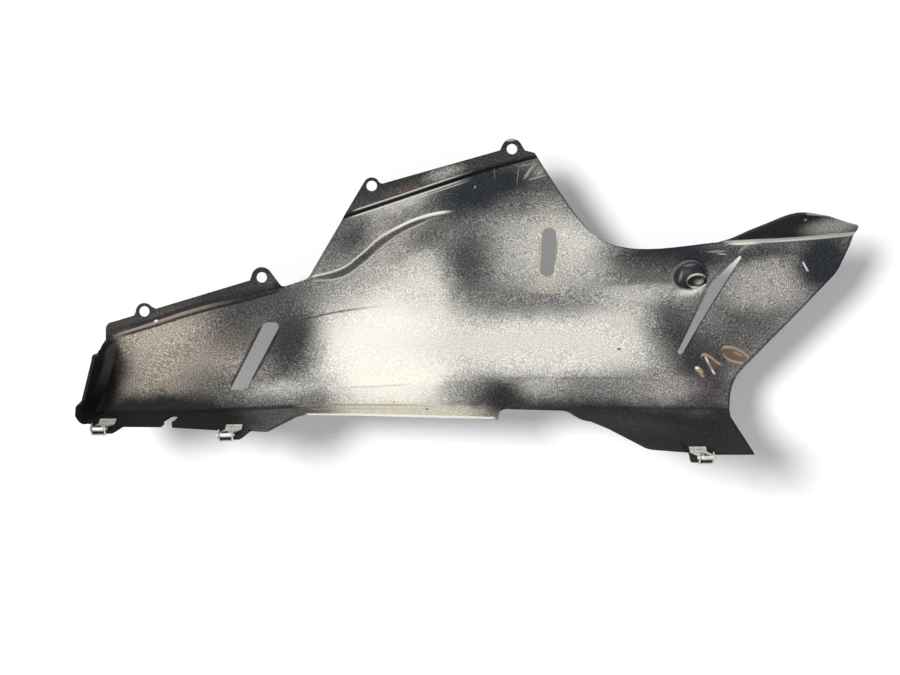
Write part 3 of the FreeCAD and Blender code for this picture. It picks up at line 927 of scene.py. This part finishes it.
FLANGE_PAINT_AND_RAMP_SHADE = (
    # Black paint on the rear flange; its darkest stripe, just above the joggle line, is painted shade on the
    # joggle's ramp.
    Line(REAR_JOGGLE, (
        Stop(-60, Shade.SOOT, 0.95), Stop(-18, Shade.SOOT, 0.95), Stop(-10, Shade.DARK, 0.9),
        Stop(-6, Shade.BLACK, 0.95), Stop(-2, Shade.DARK, 0.9), Stop(-0.5, Shade.DARK, 0.0),
    ), (1, 1)),
    Line(UPPER_JOGGLE, (
        Stop(-60, Shade.SOOT, 0.95), Stop(-18, Shade.SOOT, 0.95), Stop(-8, Shade.DARK, 0.9),
        Stop(-1.5, Shade.DARK, 0.9), Stop(-0.5, Shade.DARK, 0.0),
    ), (1, 1)),
    Line(HORN_FOLD, (
        Stop(-60, Shade.NIGHT, 1.0), Stop(-1.5, Shade.NIGHT, 0.95), Stop(0.0, Shade.NIGHT, 0.0),
    ), (10, 1)),
)
FLANGE_TOUCHES = (
    Mark(143, 309, 17, 13, 0, Shade.DARK, 0.7, 0.4),
    Mark(168, 313, 34, 6, 17, Shade.UMBER, 0.7, 0.2),
    Mark(266, 281, 12, 10, 0, Shade.UMBER, 0.5, 0.2),
    Mark(215, 297, 26, 9, 14, Shade.NIGHT, 0.7, 0.2),
    Mark(444, 173, 30, 9, 18, Shade.STONE, 0.8, 0.1),
    Mark(404, 190, 30, 6, 18, Shade.UMBER, 0.7, 0.1),
    Mark(832, 227, 40, 12, 6, Shade.PALE, 0.85, 0.2),
    # Painted highlight under the socket's dome.
    Mark(690, 291, 20, 7, 10, Shade.BONE, 0.8, 0.2),
    Mark(540, 171, 14, 8, 30, Shade.STONE, 0.5),
    Mark(390, 372, 60, 34, 0, Shade.CREAM, 0.8, 0.2),
    Mark(548, 250, 24, 48, 3, Shade.FAWN, 0.45, 0.2),
    Mark(546, 288, 26, 9, 0, Shade.FAWN, 0.4, 0.2),
    Mark(398, 258, 18, 8, 20, Shade.TAUPE, 0.5),
    Mark(640, 424, 60, 12, -8, Shade.SLATE, 0.5),
    Mark(104, 427, 14, 9, 0, Shade.BLACK, 0.9, 0.4),
    Mark(234, 433, 16, 9, 10, Shade.BLACK, 0.9, 0.4),
    Mark(702, 452, 18, 9, 0, Shade.BLACK, 0.9, 0.4),
)
FLANGE_HIGHLIGHTS_AND_SHADE = (
    # Rear joggle: painted shade on its ramp, a painted highlight on its crest and painted shade along its
    # foot.
    Line(((124, 330), (150, 321), (200, 304.5), (244, 295)), thread(Shade.BLACK, 2.8, 0.85), (12, 30)),
    Line(((112, 337.5), (150, 324.8), (200, 308.8), (250, 297)), thread(Shade.BLUSH, 2.4, 0.75), (8, 70)),
    Line(
        ((112, 338.5), (150, 327.5), (200, 312), (250, 299.5), (284, 290)),
        thread(Shade.BLACK, 1.5, 0.8), (20, 10),
    ),
    # Upper joggle: a painted shadow line along its step, with painted highlights on both sides of it.
    Line(UPPER_JOGGLE, thread(Shade.BLACK, 1.9, 1.0), (1, 1)),
    Line(((350, 211.8), (400, 195.3), (440, 181.8), (478, 169.5)), thread(Shade.BONE, 1.1, 0.75), (10, 40)),
    Line(((346, 219), (400, 201.3), (440, 187.8), (474, 176.5)), thread(Shade.BONE, 1.0, 0.8), (14, 30)),
    Line(((360, 216.8), (400, 204), (440, 190.5), (474, 179)), thread(Shade.PALE, 1.0, 0.6), (14, 20)),
    # Front fold: a painted highlight along the fold with a dark strip under it, and a brighter painted
    # highlight near its left end.
    Line(HORN_FOLD, (
        Stop(-2.2, Shade.BONE, 0.0), Stop(-1.3, Shade.BONE, 0.95), Stop(1.0, Shade.BONE, 0.95),
        Stop(2.4, Shade.NIGHT, 0.5), Stop(7.0, Shade.NIGHT, 0.0),
    ), (10, 1)),
    Line(((729, 242.8), (742, 242.6), (764, 241.2)), thread(Shade.CREAM, 2.8, 0.8), (8, 14)),
)
RIDGE_HIGHLIGHTS_AND_SHADE = (
    # S-shaped ridge: painted shade on its ramp, and painted highlights along its upper and lower rims.
    Line(
        ((311, 279.5), (340, 274), (360, 261), (380, 243.5), (400, 230.2), (420, 221), (440, 214.8)),
        thread(Shade.BLACK, 5.0, 0.65), (24, 24),
    ),
    Line(
        ((310, 281), (340, 278), (360, 266.5), (380, 249), (400, 234), (420, 224.3), (437, 217)),
        thread(Shade.PALE, 1.3, 0.75), (6, 20),
    ),
    Line(
        (
            (311, 277), (340, 269), (360, 255), (380, 237.5), (400, 226), (420, 217.5),
            (440, 212.5), (456, 211),
        ),
        thread(Shade.BONE, 1.3, 0.85), (4, 16),
    ),
    Line(
        ((376, 241), (400, 226.3), (420, 217.8), (440, 212.8), (452, 211.5)),
        thread(Shade.CREAM, 2.0, 0.7), (30, 14),
    ),
    # Slanted edge: a painted highlight along its lip, and a dark line along the edge.
    Line(((342, 220), (312, 275)), thread(Shade.PALE, 1.1, 0.65), upright=True),
    Line(((344, 217), (311, 277)), thread(Shade.BLACK, 1.4, 0.7), upright=True),
)
EDGE_LINES = (
    Line(
        (
            (854, 232), (846, 250), (841, 262), (832, 275), (818, 290), (789, 320), (749, 360), (738, 372),
            (730, 390), (729, 405), (732, 420), (751, 450),
        ),
        thread(Shade.BLACK, 1.6, 0.7), upright=True,
    ),
    Line(
        ((537, 158), (553, 182), (570, 208), (589, 230), (595, 236)),
        thread(Shade.BLACK, 1.6, 0.6), upright=True,
    ),
    Line(
        ((595, 236), (611, 244), (621, 246), (641, 248), (661, 248), (721, 241)),
        thread(Shade.BLACK, 1.5, 0.6),
    ),
)
CREASE_SHADING_AND_EDGE_LINES = (
    # Painted shade along the crease beside the first slot.
    Line(((278, 322), (300, 319.5), (340, 311.5), (394, 304)), thread(Shade.SLATE, 1.4, 0.75), (4, 60)),
    # Painted shade along the lower crease of the belly.
    Line(((150, 412), (200, 411), (250, 408.5), (306, 406)), thread(Shade.BLACK, 2.4, 0.75), (30, 10)),
    Line(((290, 406.5), (340, 404.8), (400, 405), (446, 407)), thread(Shade.TAUPE, 1.0, 0.6), (10, 60)),
    Line(((306, 409.5), (350, 408.5), (420, 409.5)), thread(Shade.SAND, 0.8, 0.5), (10, 60)),
    Line(((418, 416), (446, 416.8)), thread(Shade.UMBER, 1.0, 0.7)),
    Line(((304, 414.3), (400, 415.6), (498, 418)), thread(Shade.CREAM, 1.3, 0.8)),
    # Painted shade along the upper creases of the belly.
    Line(((328, 388), (372, 386.5), (416, 384)), thread(Shade.STONE, 1.2, 0.35), (20, 20)),
    Line(((467, 379), (520, 378), (600, 378), (664, 379.5)), thread(Shade.SMOKE, 1.8, 0.35), (20, 20)),
    # Painted shade along the lower crease of the belly, at the front.
    Line(((570, 406), (640, 408), (700, 408), (730, 409)), thread(Shade.BLACK, 2.2, 0.5), (20, 4)),
    Line(((598, 287), (640, 285.5), (676, 284.5)), (
        Stop(-14, Shade.SMOKE, 0.0), Stop(-1.5, Shade.SMOKE, 0.25), Stop(0.5, Shade.PALE, 0.25),
        Stop(8, Shade.PALE, 0.0),
    ), (16, 6)),
    # Painted highlight on the rounded bend into the rear wall.
    Line(
        ((119, 341), (112, 349), (110, 360), (104, 380), (96, 402)),
        thread(Shade.GREY, 4.0, 0.7), (4, 40), True,
    ),
)
SLOT_LINES = (
    Line(((262, 324), (230, 388)), thread(Shade.BLACK, 2.0, 0.8), upright=True),
    Line(((279, 330), (263, 360), (249, 384)), thread(Shade.BLACK, 2.4, 0.8), upright=True),
    Line(((541, 236), (539.5, 270)), thread(Shade.TAN, 2.6, 0.5), upright=True),
    Line(((557, 236), (555, 264)), thread(Shade.SMOKE, 1.6, 0.6), upright=True),
    Line(
        ((736, 257), (720, 271), (707, 287), (692, 319), (677, 351)),
        thread(Shade.DARK, 1.4, 0.6), upright=True,
    ),
    Line(
        ((741, 257), (732, 272), (722, 288), (702, 320), (684, 352)),
        thread(Shade.BLACK, 1.6, 0.8), upright=True,
    ),
)
WEAR_AND_WRINKLE_HIGHLIGHT_LINES = (
    # Painted highlights on the small wrinkles near the upper corner.
    Line(((537, 162), (530, 170), (523, 181)), thread(Shade.PALE, 2.2, 0.5), upright=True),
    Line(((526, 180.5), (549, 174)), thread(Shade.PALE, 1.0, 0.45)),
    Line(((517, 167), (536, 163)), thread(Shade.STONE, 1.0, 0.4)),
    Line(((519, 166), (516, 190)), thread(Shade.STONE, 0.9, 0.35), (4, 14), True),
    Line(((494.5, 166), (494.5, 182)), thread(Shade.GREY, 0.9, 0.4), upright=True),
    Line(((736, 257), (742, 249), (752, 243)), thread(Shade.STONE, 2.4, 0.55)),
    Line(((802.5, 261), (805, 266), (808.5, 272)), thread(Shade.BONE, 1.4, 0.8), (2, 2), True),
    Line(
        ((700, 358), (704, 354.5), (710, 357), (718, 363), (724, 366)),
        thread(Shade.TAN, 2.0, 0.75), (2, 6),
    ),
    Line(((705, 356), (709, 364), (715, 375)), thread(Shade.BONE, 1.5, 0.85), (2, 2), True),
    Line(((721, 350), (726, 347), (737, 349.5), (750, 358)), thread(Shade.TAN, 2.0, 0.75), (2, 3)),
    Line(((722, 354), (732, 361), (744, 363)), thread(Shade.TAN, 1.8, 0.7), (2, 3)),
    Line(((804, 213.5), (820, 214.5), (840, 219), (858, 226)), thread(Shade.FAWN, 1.8, 0.6)),
)
SPOTS_AND_SOCKET_SHADING = (
    Mark(156, 321, 2.6, 1.4, 20, Shade.CREAM, 0.9, 0.6),
    Mark(511.5, 139.5, 8, 2.2, 8, Shade.SAND, 0.85, 0.5),
    Mark(475, 187, 2.0, 1.0, 60, Shade.PALE, 0.6, 0.5),
    Mark(805.5, 220, 1.8, 1.6, 0, Shade.TAN, 0.9, 0.6),
    Mark(716, 251.5, 13, 1.4, 2, Shade.STONE, 0.7, 0.3),
    Mark(722, 254, 7, 1.2, -6, Shade.PALE, 0.6, 0.3),
    # Socket: a painted highlight round the dome with painted shade inside it, painted highlights on its left
    # and top and on the bore's rims; in the bore, painted shade on the left, the bare wall partly lit by a
    # painted highlight on the right, and a dark crescent at its right end.
    Mark(690.5, 274.5, 18, 15.5, 20, Shade.GREY, 0.7, 0.9),
    Mark(691, 275, 16.6, 14, 20, Shade.NIGHT, 0.95, 0.88),
    Mark(681, 276, 2.2, 8, -12, Shade.STONE, 0.5, 0.1),
    Mark(690, 265, 9, 2, 8, Shade.STONE, 0.4, 0.1),
    Mark(696.5, 281, 12, 7.6, 0, Shade.BONE, 0.85, 0.9),
    Mark(696.5, 281.3, 10.6, 5.8, 0, Shade.DARK, 0.95, 0.85),
    Mark(699, 281.8, 7, 4.2, 0, Shade.SAND, 0.85, 0.2),
    Mark(706, 281, 1.8, 4.4, 0, Shade.BLACK, 0.9, 0.6),
    Mark(735, 355, 14, 6.5, -22, Shade.RUST, 0.85, 0.6),
    Mark(738, 354, 9, 2, -22, Shade.TAN, 0.5, 0.2),
    Mark(712, 365, 6, 7, 20, Shade.RUST, 0.75, 0.4),
    Mark(727, 366, 10, 4, -30, Shade.RUST, 0.4, 0.2),
    Mark(699, 370, 6.5, 3.4, -40, Shade.TAN, 0.85, 0.5),
    Mark(697, 368, 2.4, 1.6, 0, Shade.CREAM, 0.9, 0.5),
    Mark(702, 375.5, 4, 2.2, -40, Shade.TAN, 0.6, 0.4),
    Mark(619, 349, 2.6, 1.2, 15, Shade.BLACK, 0.9, 0.6),
    Mark(394, 402, 1.8, 1.2, 0, Shade.SAND, 0.9, 0.5),
    Mark(427, 409, 2.4, 1.2, 10, Shade.UMBER, 0.8, 0.5),
    # Painted shadow along the step beside the front clip.
    Mark(686, 449, 3, 11, 30, Shade.BLACK, 0.9, 0.5),
)


def main() -> None:
    """Build the scene piece by piece."""
    logging.basicConfig(level=logging.INFO, format="%(message)s")
    eye = Eye()
    shell = FairingShell(
        "fairing_shell",
        Shade.GREY,
        (*REAR_CLOUDS, *UPPER_CLOUDS, *MIDDLE_CLOUDS, *FRONT_CLOUDS),
        FLANGE_PAINT_AND_RAMP_SHADE,
        FLANGE_TOUCHES,
        (*FLANGE_HIGHLIGHTS_AND_SHADE, *RIDGE_HIGHLIGHTS_AND_SHADE, *EDGE_LINES, *CREASE_SHADING_AND_EDGE_LINES, *SLOT_LINES, *WEAR_AND_WRINKLE_HIGHLIGHT_LINES),
        SPOTS_AND_SOCKET_SHADING,
    )
    shell.dress(eye)
    zinc = ZincFinish().material("bright_zinc")
    for name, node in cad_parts.items():
        if "clip" in name:
            node.material_slots[0].material = zinc
            LOG.info("%s dressed", name)
    Studio(eye).build()


if __name__ == "__main__":
    main()
